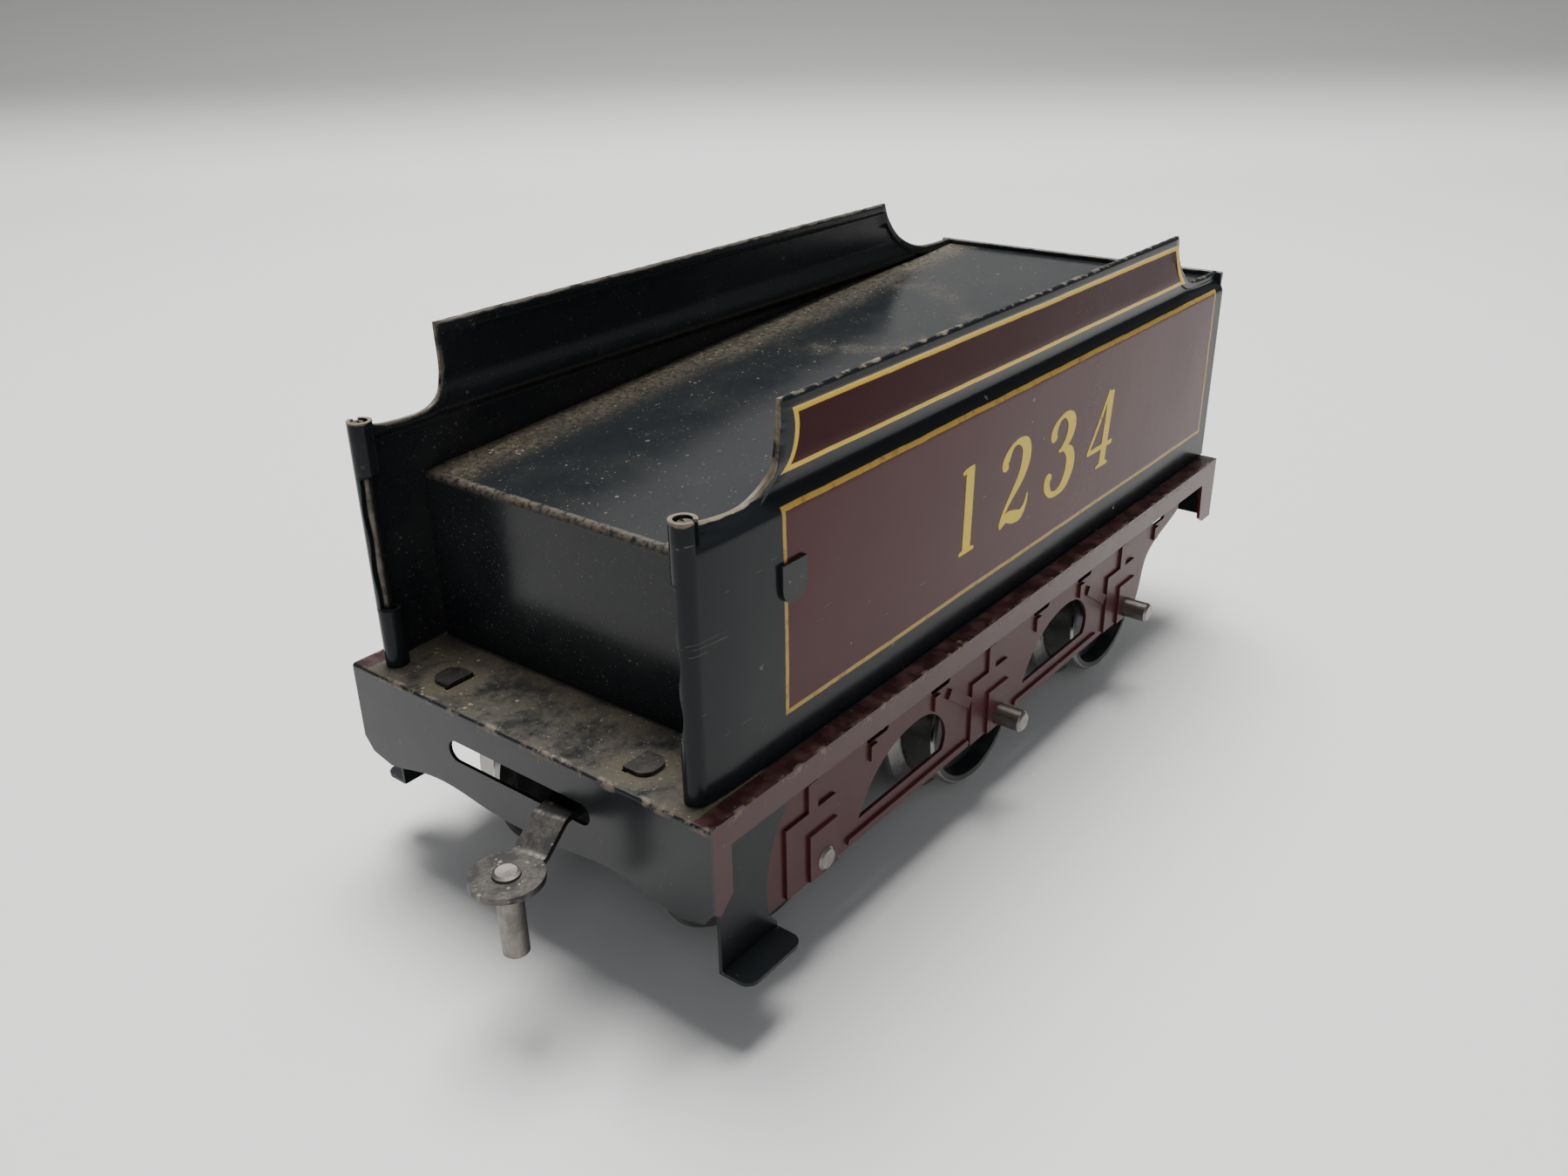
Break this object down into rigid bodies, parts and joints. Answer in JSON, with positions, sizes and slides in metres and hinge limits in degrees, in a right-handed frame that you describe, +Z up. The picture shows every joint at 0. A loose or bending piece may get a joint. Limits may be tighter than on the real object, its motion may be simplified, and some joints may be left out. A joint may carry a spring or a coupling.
{
  "type": "toy train tender",
  "caption": "Six-wheeled tinplate tender for a clockwork toy train, with swinging drawbar, sliding axles, turning wheels and a rear coupling link.",
  "frame": {"origin": "on the ground, under the middle of the overall length and width", "axes": "+X forward to the drawbar, +Y to the tender's left side, +Z up"},
  "size_m": [0.1637, 0.0705, 0.0726],
  "materials": {
    "lined_paint": "glossy maroon panels on black, gilt lining",
    "black_enamel": "glossy black, dusty",
    "footplate_paint": "black front and maroon edges, worn",
    "frame_maroon": "satin maroon",
    "worn_steel": "dark speckled steel with worn edges",
    "bare_steel": "dull bare steel",
    "axle_steel": "bright turned steel",
    "wheel_iron": "black faces, bright treads"
  },
  "bodies": {
    "tender": {"body_shell": "lined_paint", "deck_plate": "black_enamel", "handrail_left": "worn_steel", "handrail_right": "worn_steel", "footplate": "footplate_paint", "side_frame_left": "frame_maroon", "side_frame_right": "frame_maroon", "drawbar_bracket": "worn_steel", "drawbar_pivot": "worn_steel", "rear_hook": "worn_steel", "buffer_left": "worn_steel", "buffer_right": "worn_steel"},
    "drawbar": {"drawbar": "worn_steel", "drawbar_pin": "bare_steel"},
    "link": {"rear_link": "bare_steel"},
    "axle_front": {"axle_front": "axle_steel"},
    "wheels_front": {"wheel_front_left": "wheel_iron", "wheel_front_right": "wheel_iron", "spacer_front": "worn_steel"},
    "axle_middle": {"axle_middle": "axle_steel"},
    "wheels_middle": {"wheel_middle_left": "wheel_iron", "wheel_middle_right": "wheel_iron", "spacer_middle": "worn_steel"},
    "axle_rear": {"axle_rear": "axle_steel"},
    "wheels_rear": {"wheel_rear_left": "wheel_iron", "wheel_rear_right": "wheel_iron", "spacer_rear": "worn_steel"}
  },
  "joints": [
    {"name": "drawbar_swing", "type": "hinge", "parent": "tender", "child": "drawbar", "pos_m": [0.0314, 0, 0.0235], "axis": [0, 0, 1], "range_deg": [-25, 2]},
    {"name": "link_swing", "type": "hinge", "parent": "tender", "child": "link", "pos_m": [-0.075, 0, 0.0236], "axis": [0, 1, 0], "range_deg": [-25, 110]},
    {"name": "axle_front_shift", "type": "slide", "parent": "tender", "child": "axle_front", "axis": [0, 1, 0], "range_m": [0, 0.0036]},
    {"name": "wheels_front_spin", "type": "hinge", "parent": "axle_front", "child": "wheels_front", "pos_m": [0.047, 0, 0.0148], "axis": [0, 1, 0], "continuous": true},
    {"name": "axle_middle_shift", "type": "slide", "parent": "tender", "child": "axle_middle", "axis": [0, 1, 0], "range_m": [-0.0036, 0]},
    {"name": "wheels_middle_spin", "type": "hinge", "parent": "axle_middle", "child": "wheels_middle", "pos_m": [0.0053, 0, 0.0148], "axis": [0, 1, 0], "continuous": true},
    {"name": "axle_rear_shift", "type": "slide", "parent": "tender", "child": "axle_rear", "axis": [0, 1, 0], "range_m": [-0.0036, 0]},
    {"name": "wheels_rear_spin", "type": "hinge", "parent": "axle_rear", "child": "wheels_rear", "pos_m": [-0.0368, 0, 0.0148], "axis": [0, 1, 0], "continuous": true}
  ]
}
